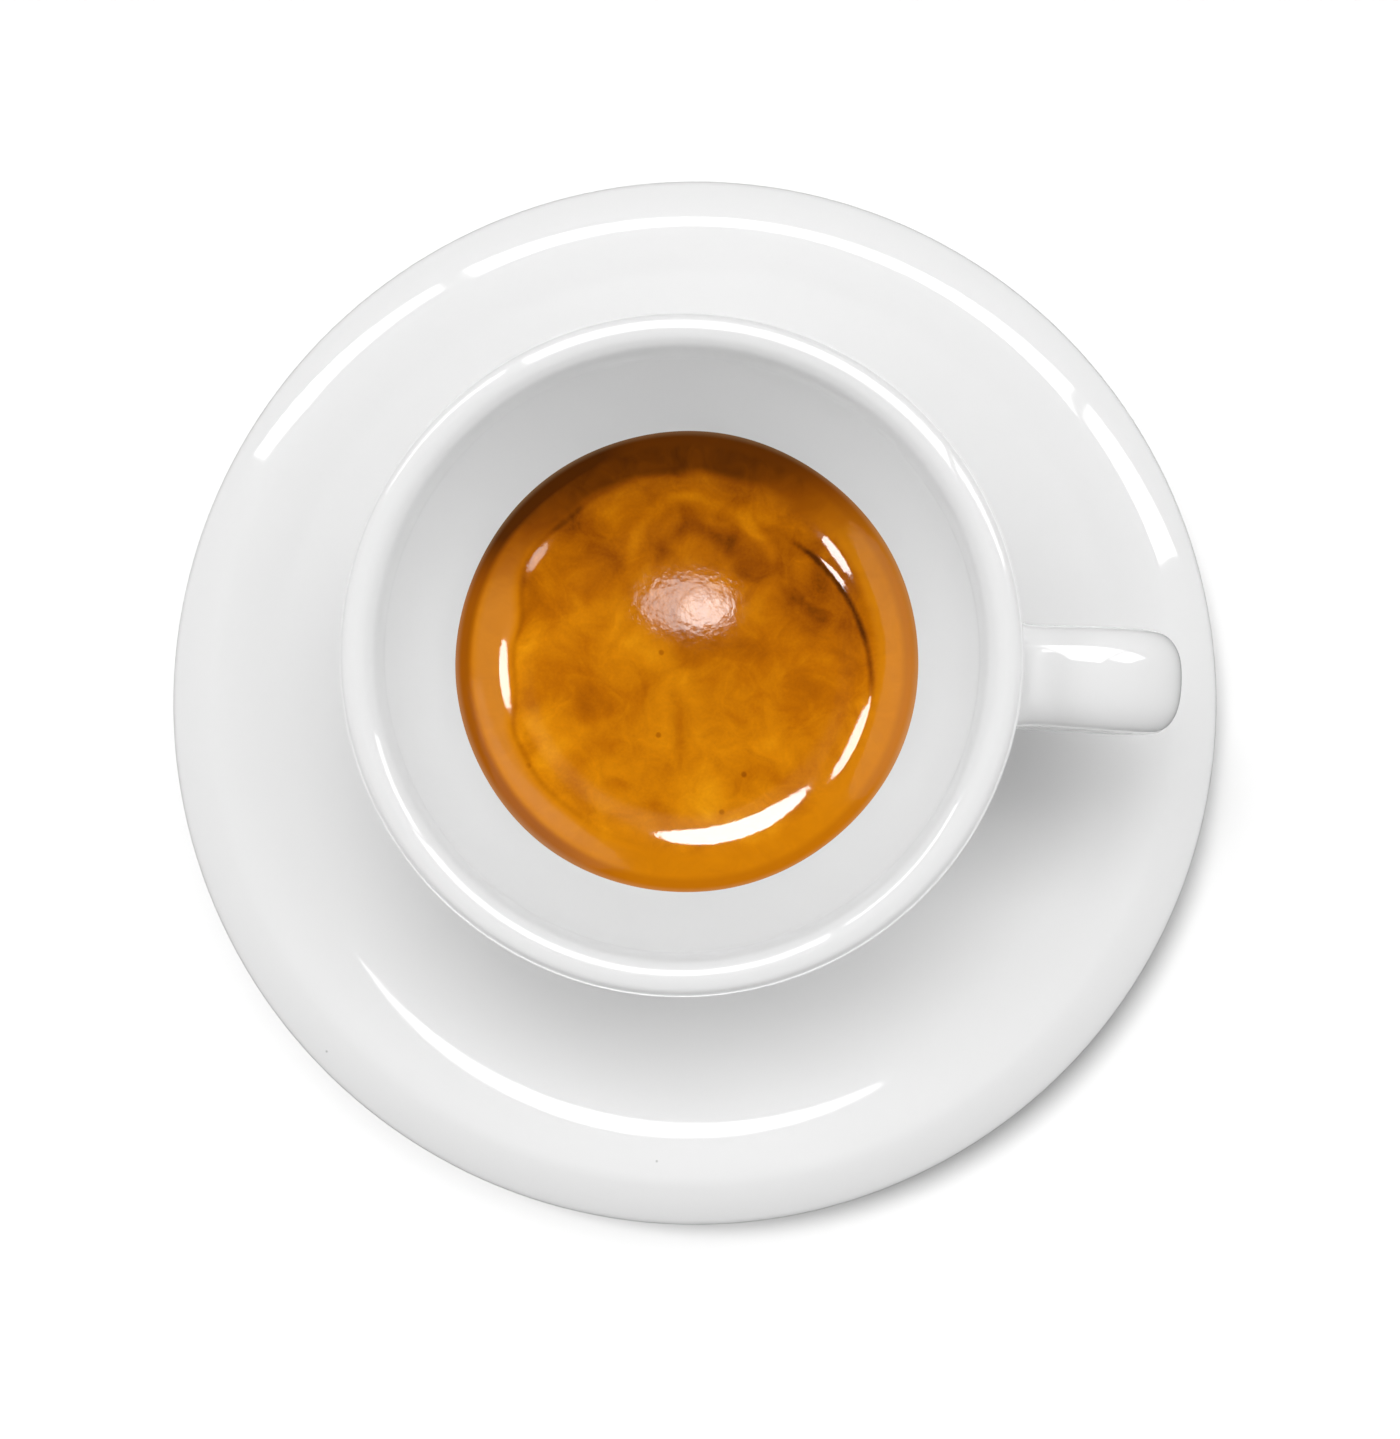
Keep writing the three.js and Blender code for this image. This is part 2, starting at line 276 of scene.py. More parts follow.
def inner_bowl(steps):
    """The inside from the top of the bowl down to the middle of the floor."""
    ends = (Vector((wall_radius(BOWL_TOP_HEIGHT), BOWL_TOP_HEIGHT)), Vector((0, CUP_FLOOR)))
    handles = (
        Vector((wall_radius(BOWL_BEND_HEIGHT), BOWL_BEND_HEIGHT)),
        Vector((BOWL_FLOOR_REACH, CUP_FLOOR)),
    )
    return swept(ends, handles, steps)


lip_outer = Vector((RIM_RADIUS - LIP_OUTER_RADIUS, CUP_HEIGHT - LIP_OUTER_RADIUS))
lip_inner = Vector((lip_outer.x - LIP_FLAT, CUP_HEIGHT - LIP_INNER_RADIUS))
lip_arcs = rounded(lip_outer, LIP_OUTER_RADIUS, 0, 90, 4)
lip_arcs += rounded(lip_inner, LIP_INNER_RADIUS, 95, LIP_INNER_ANGLE, 3)
blend_end = Vector((wall_radius(LIP_BLEND_HEIGHT), LIP_BLEND_HEIGHT))
wall_way = Vector((-INNER_TAPER, -1)).normalized()
lip_handles = (
    lip_arcs[-1] + LIP_BLEND_PULLS[0] * way(LIP_INNER_ANGLE + 90),
    blend_end - LIP_BLEND_PULLS[1] * wall_way,
)
lip_blend = swept((lip_arcs[-1], blend_end), lip_handles, 3)
cup_profile = [
    *[Vector(point) for point in CUP_FOOT + CUP_FOOT_SIDE],
    *[on_belly(height) for height in BELLY_ROWS],
    *lip_arcs,
    *lip_blend[1:],
    *[Vector((wall_radius(height), height)) for height in WALL_ROWS],
    *inner_bowl(8),
]
print("cup profile points:", len(cup_profile))

# %% Cage whose smooth surface passes through a profile
CAGE_ROUNDS = 12


def cage_through(profile):
    """A cubic surface averages each point with its neighbours as 1 to 4 to 1."""
    cage = [point.copy() for point in profile]
    for _ in range(CAGE_ROUNDS):
        smooth = [
            (before + 4 * here + after) / 6
            for before, here, after in zip(cage, cage[1:], cage[2:])
        ]
        for i, (target, reached) in enumerate(zip(profile[1:-1], smooth), start=1):
            cage[i] = cage[i] + target - reached
    return cage


# The smooth surface also lies a little inside a round cage
CUP_SEGMENTS = 76
ROUND_SHRINK = 1 - (1 - math.cos(2 * math.pi / CUP_SEGMENTS)) / 3
cup_cage = [Vector((p.x / ROUND_SHRINK, p.y)) for p in cage_through(cup_profile)]
cup_mesh = spun(cup_cage, CUP_SEGMENTS)
print("cup cage faces:", len(cup_mesh.faces))

# %% Windows in the belly for the strap
# Columns of faces to each side of the handle's middle
STRAP_COLUMNS = {"low": 3, "high": 2}
INNER_WALL_KEPT = 2


def cut_window(mesh, name):
    """Deletes the faces between the rows at the handle, and gives the hole's edges."""
    rows = STRAP_ROWS[name]
    low, high = rows[0] * MM, rows[-1] * MM
    half_angle = STRAP_COLUMNS[name] * 2 * math.pi / CUP_SEGMENTS
    wall_inside = (wall_radius(rows[1]) + INNER_WALL_KEPT) * MM
    faces = []
    for face in mesh.faces:
        middle = face.calc_center_median()
        turn = abs(math.atan2(middle.y, middle.x))
        if low < middle.z < high and turn < half_angle and middle.xy.length > wall_inside:
            faces.append(face)
    print("faces cut for the strap:", len(faces))
    bmesh.ops.delete(mesh, geom=faces, context="FACES")
    return [edge for edge in mesh.edges if edge.is_boundary]


high_hole = cut_window(cup_mesh, "high")
low_hole = [edge for edge in cut_window(cup_mesh, "low") if edge not in set(high_hole)]

# %% [markdown]
# The strap arches a little where it leaves the cup, turns down in a tight corner and runs
# back into the belly. Its section is an oval with fuller corners, rounder outside than on
# the finger's side. It is made as a ring that is extruded from place to place along the
# route, and that gets a little wider towards the outer end.

# %% Strap sizes
STRAP_HALF_WIDTH = 5.2
STRAP_ROOT_SHARE = 0.95
STRAP_CROWN = 3.7
STRAP_BACK = 2.8
STRAP_SQUARENESS = 2.5
STRAP_REACH = 49.2
STRAP_ROUTE = [
    (29.5, 45.0), (32.4, 46.0), (36, 47.3), (39.2, 47.85), (42.2, 47.35), (44.5, 46.0),
    (45.5, 43.6), (45.4, 38.8), (43.6, 32.6), (39.4, 26.6), (33.2, 21.8), (21.4, 17.8),
]
STRAP_FROM_WALL = (2.2, 3.2)
STRAP_STATIONS = 30
RING_POINTS = 16

# %% Strap route


def smooth_route(route, steps):
    """Points of a smooth curve through the route, steps of them for each stretch."""
    knots = [Vector(point) for point in route]
    knots = [2 * knots[0] - knots[1], *knots, 2 * knots[-1] - knots[-2]]
    points = []
    for before, start, end, after in zip(knots, knots[1:], knots[2:], knots[3:]):
        handles = (start + (end - before) / 6, end - (after - start) / 6)
        points += swept((start, end), handles, steps)[:-1]
    return points + [knots[-2]]


def outside_cup(route):
    """The part of the route that is clear of the cup's wall, at both ends."""
    high_clear = on_belly(STRAP_ROWS["high"][2]).x + STRAP_FROM_WALL[0]
    low_clear = on_belly(STRAP_ROWS["low"][2]).x + STRAP_FROM_WALL[1]
    first = next(i for i, p in enumerate(route) if p.x > high_clear)
    last = max(i for i, p in enumerate(route) if p.x > low_clear)
    return route[first:last + 1]


def evenly(points, count):
    """The same line with its points at even distances."""
    lengths = [0]
    for here, there in zip(points, points[1:]):
        lengths.append(lengths[-1] + (there - here).length)
    spaced = []
    for i in range(count):
        want = lengths[-1] * i / (count - 1)
        k = min(max(1, sum(length < want for length in lengths)), len(points) - 1)
        share = (want - lengths[k - 1]) / (lengths[k] - lengths[k - 1])
        spaced.append(points[k - 1].lerp(points[k], share))
    return spaced


stations = evenly(outside_cup(smooth_route(STRAP_ROUTE, 40)), STRAP_STATIONS)
print("strap leaves the wall at", stations[0][:], "and comes back at", stations[-1][:])

# %% Strap


def station_frame(i):
    """Where a ring lies: its x across the strap, its y outwards, its z along the route."""
    along = (stations[min(i + 1, len(stations) - 1)] - stations[max(i - 1, 0)]).normalized()
    outwards = Vector((-along.y, 0, along.x))
    from_root = (stations[i].x - stations[0].x) / (STRAP_REACH - stations[0].x)
    across = Vector((0, STRAP_ROOT_SHARE + (1 - STRAP_ROOT_SHARE) * max(from_root, 0), 0))
    axes = Matrix((across, outwards, Vector((along.x, 0, along.y)))).transposed()
    place = Vector((stations[i].x, 0, stations[i].y)) * MM
    return Matrix.Translation(place) @ axes.to_4x4()


def section_point(angle):
    """A point of the strap's section, which is an oval with fuller corners."""
    across, outwards = math.cos(angle), math.sin(angle)
    depth = STRAP_CROWN if outwards > 0 else STRAP_BACK
    return Vector(
        (
            STRAP_HALF_WIDTH * math.copysign(abs(across) ** (2 / STRAP_SQUARENESS), across),
            depth * math.copysign(abs(outwards) ** (2 / STRAP_SQUARENESS), outwards),
        )
    )


def closed_cage_through(ring):
    """The same as cage_through, for points that close to a ring."""
    cage = [point.copy() for point in ring]
    for _ in range(CAGE_ROUNDS):
        smooth = [
            (cage[i - 1] + 4 * cage[i] + cage[(i + 1) % len(cage)]) / 6 for i in range(len(cage))
        ]
        cage = [here + target - reached for here, target, reached in zip(cage, ring, smooth)]
    return cage


def add_strap(mesh):
    """Extrudes the oval ring along the route, and gives the first and the last ring."""
    circle = bmesh.ops.create_circle(mesh, cap_ends=False, segments=RING_POINTS, radius=1)
    ring = sorted(circle["verts"], key=lambda vertex: math.atan2(vertex.co.y, vertex.co.x))
    angles = [math.atan2(vertex.co.y, vertex.co.x) for vertex in ring]
    cage = closed_cage_through([section_point(angle) for angle in angles])
    for vertex, place in zip(ring, cage):
        vertex.co = (place.x * MM, place.y * MM, 0)
    bmesh.ops.transform(mesh, matrix=station_frame(0), verts=ring)
    edges = [edge for edge in mesh.edges if all(v in ring for v in edge.verts)]
    first = edges
    for i in range(1, len(stations)):
        grown = bmesh.ops.extrude_edge_only(mesh, edges=edges)["geom"]
        ring = [item for item in grown if isinstance(item, bmesh.types.BMVert)]
        edges = [
            item for item in grown
            if isinstance(item, bmesh.types.BMEdge) and all(v in ring for v in item.verts)
        ]
        step = station_frame(i) @ station_frame(i - 1).inverted()
        bmesh.ops.transform(mesh, matrix=step, verts=ring)
    return first, edges


first_ring, last_ring = add_strap(cup_mesh)
bmesh.ops.bridge_loops(cup_mesh, edges=high_hole + first_ring)
bmesh.ops.bridge_loops(cup_mesh, edges=low_hole + last_ring)
bmesh.ops.recalc_face_normals(cup_mesh, faces=cup_mesh.faces)
bmesh.ops.translate(cup_mesh, vec=CUP_PLACE * MM, verts=cup_mesh.verts)
open_edges = [edge for edge in cup_mesh.edges if not edge.is_manifold]
print("open edges left in the cup:", len(open_edges))

# %% Cup
NOTHING_SHARP = 180
SMOOTHING_LEVELS = 2
cup = finished_piece(cup_mesh, "cup_body_and_strap", "cup", NOTHING_SHARP)
smoothing = cup.modifiers.new("smooth_glaze", "SUBSURF")
smoothing.levels = SMOOTHING_LEVELS
smoothing.render_levels = SMOOTHING_LEVELS

# %% [markdown]
# The coffee is a level disc of crema. Towards the cup the foam bends up into a shallow
# bowl, turns a soft corner and climbs the wall, where it clings a little higher in some
# places. A crease winds outwards through the foam on the picture's right. The piece is a
# closed solid down to the cup's floor, and it reaches a hair into the porcelain, so that
# no gap shows along the wall.

# %% Coffee sizes
INTO_WALL = 0.2
LEVEL_HEIGHT = 31.7
LEVEL_RADIUS = 14.9
FOAM_BEND_RADIUS = 11.1
FOAM_CORNER_RADIUS = 19.6
FOAM_CLIMB_PULLS = (1.2, 1.5)
FOAM_CLIMB_STEEPENS = 8
COFFEE_SIDE_ROWS = (33.5, 31)
LEVEL_ROWS = 12
COFFEE_SEGMENTS = 192
# Waves of the foam along the wall: how many go round, how high they are, where they start
FOAM_WAVES = ((2, 0.16, 0.6), (3, 0.14, 2.1), (7, 0.08, 4))
# The crease's radius where it crosses the picture's right, and its growth for each degree
CREASE_RADIUS = 18.95
CREASE_WIDENING = 0.045
CREASE = {"azimuth": -20, "half_turn": 36, "width": 0.4, "depth": 0.08}

# %% Coffee profile
corner_angle = math.degrees(math.asin((FOAM_CORNER_RADIUS - LEVEL_RADIUS) / FOAM_BEND_RADIUS))
bend_centre = Vector((LEVEL_RADIUS, LEVEL_HEIGHT + FOAM_BEND_RADIUS))
foam_bend = rounded(bend_centre, FOAM_BEND_RADIUS, -90, corner_angle - 90, 28)
contact = CONTACT + Vector((INTO_WALL, 0))
climb_handles = (
    foam_bend[-1] + FOAM_CLIMB_PULLS[0] * way(corner_angle),
    contact - FOAM_CLIMB_PULLS[1] * way(corner_angle + FOAM_CLIMB_STEEPENS),
)
foam_climb = swept((foam_bend[-1], contact), climb_handles, 16)
level_rows = [
    Vector((LEVEL_RADIUS * i / LEVEL_ROWS, LEVEL_HEIGHT)) for i in range(LEVEL_ROWS)
]
side_rows = [
    Vector((wall_radius(height) + INTO_WALL, height)) for height in COFFEE_SIDE_ROWS
]
bowl_rows = [p + Vector((INTO_WALL, 0)) if p.x > 0 else p for p in inner_bowl(10)]
coffee_profile = [*level_rows, *foam_bend, *foam_climb[1:], *side_rows, *bowl_rows]


def wave_at(angle):
    """How much higher the foam stands on the wall there, in mm."""
    return sum(size * math.sin(count * angle + phase) for count, size, phase in FOAM_WAVES)


def crease_depth(radius, angle):
    """How much lower the foam lies there, in mm."""
    azimuth = (math.degrees(PICTURE_TURN - angle) + 180) % 360 - 180
    turn = (azimuth - CREASE["azimuth"]) / CREASE["half_turn"]
    across = (radius - CREASE_RADIUS - CREASE_WIDENING * azimuth) / CREASE["width"]
    return CREASE["depth"] * math.exp(-across * across) * max(0, 1 - turn**4)


# %% Coffee
coffee_mesh = spun(coffee_profile, COFFEE_SEGMENTS)
for vertex in coffee_mesh.verts:
    radius = vertex.co.xy.length / MM
    angle = math.atan2(vertex.co.y, vertex.co.x)
    climb = (radius - FOAM_CORNER_RADIUS) / (CONTACT.x - FOAM_CORNER_RADIUS)
    if vertex.co.z > LEVEL_HEIGHT * MM:
        vertex.co.z += (max(climb, 0) * wave_at(angle) - crease_depth(radius, angle)) * MM
bmesh.ops.translate(coffee_mesh, vec=CUP_PLACE * MM, verts=coffee_mesh.verts)
COFFEE_SHARP_ABOVE = 60
coffee = finished_piece(
    coffee_mesh, "coffee_with_crema", "espresso", COFFEE_SHARP_ABOVE
)

# %% [markdown]
# In the photograph the porcelain stays a neutral grey right down to the foam, although a
# render would bounce orange light onto it. So the coffee is seen by the camera alone, and
# the porcelain is lit as if it weren't there.

# %% What sees the coffee
coffee.visible_diffuse = False
coffee.visible_glossy = False
coffee.visible_shadow = False
print("coffee seen by the camera:", coffee.visible_camera)

# %% [markdown]
# Materials start from sRGB hex colours, as a colour picker gives them. Blender calculates
# in linear light, so one function converts them. A second one adds any node with its
# settings and links.

# %% Material helpers


def linear(hex_colour):
    """The linear colour that an sRGB hex colour stands for."""
    parts = [int(hex_colour[i:i + 2], 16) / 255 for i in (1, 3, 5)]
    return [p / 12.92 if p <= 0.04045 else ((p + 0.055) / 1.055) ** 2.4 for p in parts] + [1]


def add_node(tree, kind, inputs, stops=(), **settings):
    """Adds a node. An input that is another node's socket is linked, any other is set."""
    node = tree.nodes.new(kind)
    for name, value in settings.items():
        setattr(node, name, value)
    for socket, value in inputs.items():
        if isinstance(value, bpy.types.NodeSocket):
            tree.links.new(value, node.inputs[socket])
        else:
            node.inputs[socket].default_value = value
    for i, (position, colour) in enumerate(stops):
        ramp = node.color_ramp.elements
        stop = ramp[i] if i < 2 else ramp.new(position)
        stop.position = position
        stop.color = colour
    return node


def new_material(name):
    """A new material, its node tree and the shader in it."""
    material = bpy.data.materials.new(name)
    material.use_nodes = True
    return material, material.node_tree, material.node_tree.nodes["Principled BSDF"]


# %% [markdown]
# Glazed porcelain is a white body under a thin coat of glass that melted on it. The glass
# gives sharp mirror images, and it is never quite flat: it pooled about a hundredth of a
# millimetre deep over a centimetre or so, which makes the edges of a mirrored window waver.
# Two tiny dark specks show in the saucer's glaze, as specks of iron do in plain ware.

# %% Glazed porcelain
METRES_TO_MM = 1000
GLAZE_WAVE = 14
GLAZE_DEPTH = 0.012
SAUCER_SPECKS = ((-39.5, -42.2, 0), (-1.1, -52.3, 0))
SPECK_RADIUS = 0.05
SPECK_FADE = 0.2
SPECK_COLOUR = "#4A4742"
SPECK_SHARE = 0.4
GLAZE_WHITE = "#EEEEEE"
GLAZE_ROUGHNESS = 0.05
GLAZE_IOR = 1.5


def glazed_porcelain(name, specks=()):
    """White glaze with specks at those places, which are seen from above."""
    material, tree, shader = new_material(name)
    place = add_node(tree, "ShaderNodeTexCoord", {}).outputs["Object"]
    in_mm = add_node(tree, "ShaderNodeMapping", {"Vector": place, "Scale": [METRES_TO_MM] * 3})
    pools = add_node(
        tree, "ShaderNodeTexNoise",
        {"Vector": in_mm.outputs[0], "Scale": 1 / GLAZE_WAVE, "Detail": 1, "Roughness": 0.4},
    )
    bump = add_node(
        tree, "ShaderNodeBump",
        {"Height": pools.outputs["Fac"], "Strength": 1, "Distance": GLAZE_DEPTH * MM},
    )
    shader.inputs["Base Color"].default_value = linear(GLAZE_WHITE)
    from_above = add_node(
        tree, "ShaderNodeMapping", {"Vector": in_mm.outputs[0], "Scale": (1, 1, 0)}
    ).outputs[0]
    for speck in specks:
        distance = add_node(
            tree, "ShaderNodeVectorMath", {0: from_above, 1: speck}, operation="DISTANCE"
        ).outputs["Value"]
        grey = add_node(
            tree, "ShaderNodeMapRange",
            {0: distance, 1: SPECK_RADIUS, 2: SPECK_FADE, 3: SPECK_SHARE, 4: 0},
        ).outputs[0]
        colour = add_node(
            tree, "ShaderNodeMix",
            {"Factor": grey, "A": linear(GLAZE_WHITE), "B": linear(SPECK_COLOUR)},
            data_type="RGBA",
        )
        if shader.inputs["Base Color"].is_linked:
            before = shader.inputs["Base Color"].links[0].from_socket
            tree.links.new(before, colour.inputs["A"])
        tree.links.new(colour.outputs["Result"], shader.inputs["Base Color"])
    shader.inputs["Roughness"].default_value = GLAZE_ROUGHNESS
    shader.inputs["IOR"].default_value = GLAZE_IOR
    tree.links.new(bump.outputs["Normal"], shader.inputs["Normal"])
    return material


saucer.data.materials.append(glazed_porcelain("glazed_porcelain_saucer", SAUCER_SPECKS))
cup.data.materials.append(glazed_porcelain("glazed_porcelain_cup"))
print("glazed pieces:", saucer.name, "and", cup.name)

# %% [markdown]
# Crema is a foam of fine bubbles in coffee oil. It is opaque, orange-brown, and mottled
# where darker and paler foam was folded together as the shot ran in. Its skin is wet, so
# it shines like varnish.
# The colour is one tone from dark to pale that goes through a ramp. The tone is added up
# from a slow drift across the cup, painted shade that darkens it towards the picture's top,
# two sizes of folded noise, patches where the shot left more or less foam, a whorl, and the
# smoother ring along the wall. The ring gets painted shade on the side that the cup shades,
# and creases with painted shade part it from the foam inside. Places are in mm from the
# cup's middle, along the picture's right and its up.

# %% Crema: coordinates
crema, crema_tree, crema_shader = new_material("wet_crema_foam")


def foam_math(operation, *values):
    """One step of arithmetic in the crema's node tree."""
    inputs = dict(enumerate(values))
    return add_node(crema_tree, "ShaderNodeMath", inputs, operation=operation).outputs[0]


def foam_vector(operation, *values, output=0):
    """One step of arithmetic on places in the crema's node tree."""
    inputs = dict(enumerate(values))
    node = add_node(crema_tree, "ShaderNodeVectorMath", inputs, operation=operation)
    return node.outputs[output]


def foam_noise(vector, size, **inputs):
    """Noise of that size in mm, from about -0.5 to 0.5."""
    values = {"Vector": vector, "Scale": 1 / size, **inputs}
    noise = add_node(crema_tree, "ShaderNodeTexNoise", values).outputs["Fac"]
    return foam_math("SUBTRACT", noise, 0.5)


def foam_step(value, start, end, low=0, high=1):
    """Goes smoothly from low to high while the value goes from start to end."""
    inputs = {0: value, 1: start, 2: end, 3: low, 4: high}
    settings = {"interpolation_type": "SMOOTHSTEP"}
    return add_node(crema_tree, "ShaderNodeMapRange", inputs, **settings).outputs[0]


def foam_blend(below, above, share):
    """Below where the share is 0 and above where it is 1."""
    return foam_math("MULTIPLY_ADD", foam_math("SUBTRACT", above, below), share, below)


def foam_distance(place, spot):
    """How far a place is from a spot, in mm."""
    return foam_vector("DISTANCE", place, (*spot, 0), output="Value")


crema_place = add_node(crema_tree, "ShaderNodeTexCoord", {}).outputs["Object"]
crema_mm = add_node(
    crema_tree, "ShaderNodeMapping",
    {"Vector": crema_place, "Scale": [METRES_TO_MM] * 3, "Location": -CUP_PLACE},
).outputs[0]
crema_flat = add_node(
    crema_tree, "ShaderNodeMapping",
    {"Vector": crema_mm, "Rotation": (0, 0, -PICTURE_TURN), "Scale": (1, 1, 0)},
).outputs[0]
crema_axes = add_node(crema_tree, "ShaderNodeSeparateXYZ", {0: crema_flat}).outputs
from_middle = foam_vector("LENGTH", crema_flat, output="Value")

# %% Crema: folded tones
MIDDLE_TONE = 0.56
# Painted shade: the foam gets darker towards the picture's top, where the cup's wall shades it
PAINTED_SHADE_UP = -0.008
DRIFT_RIGHT = -0.003
FOLD_SIZE = 7
FOLD_WARP = 5
FOLD_TONE = 1
CURL_SIZE = 2.6
CURL_TONE = 0.5
GRAIN_SIZE = 0.3
GRAIN_TONE = 0.13
PATCHES = (
    {"at": (15, 8), "reach": 9, "tone": -0.2},
    {"at": (1, -12), "reach": 10, "tone": 0.16},
    {"at": (-14.5, -7.5), "reach": 5.5, "tone": 0.2},
    {"at": (-11, -4.5), "reach": 3, "tone": -0.24},
    {"at": (-16.5, -4), "reach": 2.4, "tone": -0.18},
    {"at": (-5, 0.5), "reach": 6, "tone": 0.12},
    {"at": (-12, 15), "reach": 8, "tone": -0.16},
    {"at": (-4, 9.5), "reach": 4, "tone": 0.08},
    {"at": (10, -1), "reach": 6, "tone": -0.16},
)
WHORL = (
    {"at": (1, 9.5), "radius": 7.4, "width": 1.3, "tone": 0.19},
    {"at": (1, 9.5), "radius": 4.4, "width": 1.5, "tone": -0.18},
)
WHORL_WARP = 3
WHORL_FADE = 3
CREMA_SPECKS = ((-16.5, -10.7), (3.6, -15.5), (-5.5, -22.9), (5.9, -11.6), (-2.7, 1.1), (-3, -7.5))
CREMA_SPECK_REACH = (0.15, 0.4)
CREMA_SPECK_TONE = -0.3

wander = add_node(
    crema_tree, "ShaderNodeTexNoise",
    {"Vector": crema_flat, "Scale": 1 / FOLD_SIZE, "Detail": 1},
).outputs["Color"]
wander = foam_vector("SUBTRACT", wander, (0.5, 0.5, 0.5))
warped = foam_vector("MULTIPLY_ADD", wander, [FOLD_WARP] * 3, crema_flat)
folds = foam_noise(warped, FOLD_SIZE, Detail=2, Roughness=0.5)
curls = foam_noise(warped, CURL_SIZE, Detail=3, Roughness=0.6, Distortion=0.6)
grain = foam_noise(crema_flat, GRAIN_SIZE, Detail=1)

# Painted shade of the cup's wall darkens the tone towards the picture's top
tone = foam_math("MULTIPLY_ADD", crema_axes["Y"], PAINTED_SHADE_UP, MIDDLE_TONE)
tone = foam_math("MULTIPLY_ADD", crema_axes["X"], DRIFT_RIGHT, tone)
for layer, share in ((folds, FOLD_TONE), (curls, CURL_TONE), (grain, GRAIN_TONE)):
    tone = foam_math("MULTIPLY_ADD", layer, share, tone)
for patch in PATCHES:
    distance = foam_distance(crema_flat, patch["at"])
    tone = foam_math("ADD", tone, foam_step(distance, 0, patch["reach"], patch["tone"], 0))

whorled = foam_vector("MULTIPLY_ADD", wander, [WHORL_WARP] * 3, crema_flat)
for arc in WHORL:
    off_arc = foam_math("SUBTRACT", foam_distance(whorled, arc["at"]), arc["radius"])
    stroke = foam_step(foam_math("ABSOLUTE", off_arc), arc["width"], 0, 0, arc["tone"])
    middle_height = arc["at"][1]
    above = foam_step(crema_axes["Y"], middle_height - WHORL_FADE, middle_height + WHORL_FADE)
    tone = foam_math("MULTIPLY_ADD", stroke, above, tone)
for spot in CREMA_SPECKS:
    distance = foam_distance(crema_flat, spot)
    tone = foam_math("ADD", tone, foam_step(distance, *CREMA_SPECK_REACH, CREMA_SPECK_TONE, 0))
print("patches in the crema:", len(PATCHES), "and specks:", len(CREMA_SPECKS))

# %% Crema: ring along the wall
RING_START = 19.5
RING_START_WAVER = 1.2
RING_START_REACH = (-0.6, 0.9)
LEFT_BULGE = {"at": (-18, 1), "reach": 9, "by": -1.6}
LEFT_SIDE = (-4, -16)
# Painted shade: the ring's tone is darker on the side that the cup's wall shades
SHADED_TURN = math.radians(98)
SHADED_SIDE = (math.cos(SHADED_TURN), math.sin(SHADED_TURN), 0)
SHADED_SIDE_REACH = (8, 20)
INNER_RING = {"tone": 0.73, "painted_shade_side": -0.68, "curls": 0.2, "share": 0.95}
OUTER_RING = {"tone": 0.58, "painted_shade_side": -0.5, "left_side": -0.25, "reach": (21.9, 22.7)}

bulge = foam_distance(crema_flat, LEFT_BULGE["at"])
ring_start = foam_step(
    bulge, LEFT_BULGE["reach"], LEFT_BULGE["reach"] / 3, RING_START, RING_START + LEFT_BULGE["by"]
)
ring_start = foam_math("MULTIPLY_ADD", folds, RING_START_WAVER, ring_start)
past_start = foam_math("SUBTRACT", from_middle, ring_start)
to_left = foam_step(crema_axes["X"], *LEFT_SIDE)
to_shaded_side = foam_vector("DOT_PRODUCT", crema_flat, SHADED_SIDE, output="Value")
painted_shade_side = foam_step(to_shaded_side, *SHADED_SIDE_REACH)

# Both zones of the ring get painted shade on the shaded side
inner_tone = foam_math("MULTIPLY_ADD", painted_shade_side, INNER_RING["painted_shade_side"], INNER_RING["tone"])
inner_tone = foam_math("MULTIPLY_ADD", curls, INNER_RING["curls"], inner_tone)
outer_tone = foam_math("MULTIPLY_ADD", painted_shade_side, OUTER_RING["painted_shade_side"], OUTER_RING["tone"])
outer_tone = foam_math("MULTIPLY_ADD", to_left, OUTER_RING["left_side"], outer_tone)
in_ring = foam_step(past_start, *RING_START_REACH, 0, INNER_RING["share"])
tone = foam_blend(tone, inner_tone, in_ring)
tone = foam_blend(tone, outer_tone, foam_step(from_middle, *OUTER_RING["reach"]))
print("ring of the crema starts at", RING_START, "mm")

# %% Crema: painted shade in the creases beside the ring
# Both are painted shade, dark lines where the foam creases. One winds outwards on the
# right, and one follows the ring's start on the left. The right one fades at both ends,
# between angles in radians from the picture's right.
RIGHT_CREASE_SHADE = {"width": 0.55, "tone": -0.34, "fades": ((-0.28, -0.05), (0.95, 0.7))}
LEFT_CREASE_SHADE = {"width": 0.5, "tone": -0.16}

turned = foam_math("ARCTAN2", crema_axes["Y"], crema_axes["X"])
crease_radius = foam_math(
    "MULTIPLY_ADD", turned, -math.degrees(CREASE_WIDENING), CREASE_RADIUS
)
off_crease = foam_math("ABSOLUTE", foam_math("SUBTRACT", from_middle, crease_radius))
crease = foam_step(off_crease, RIGHT_CREASE_SHADE["width"], 0)
for faded, full in RIGHT_CREASE_SHADE["fades"]:
    crease = foam_math("MULTIPLY", crease, foam_step(turned, faded, full))
tone = foam_math("MULTIPLY_ADD", crease, RIGHT_CREASE_SHADE["tone"], tone)
left_crease_shade = foam_step(foam_math("ABSOLUTE", past_start), LEFT_CREASE_SHADE["width"], 0)
left_crease_shade = foam_math("MULTIPLY", left_crease_shade, to_left)
tone = foam_math("MULTIPLY_ADD", left_crease_shade, LEFT_CREASE_SHADE["tone"], tone)
print("nodes that make the crema's tone:", len(crema_tree.nodes))

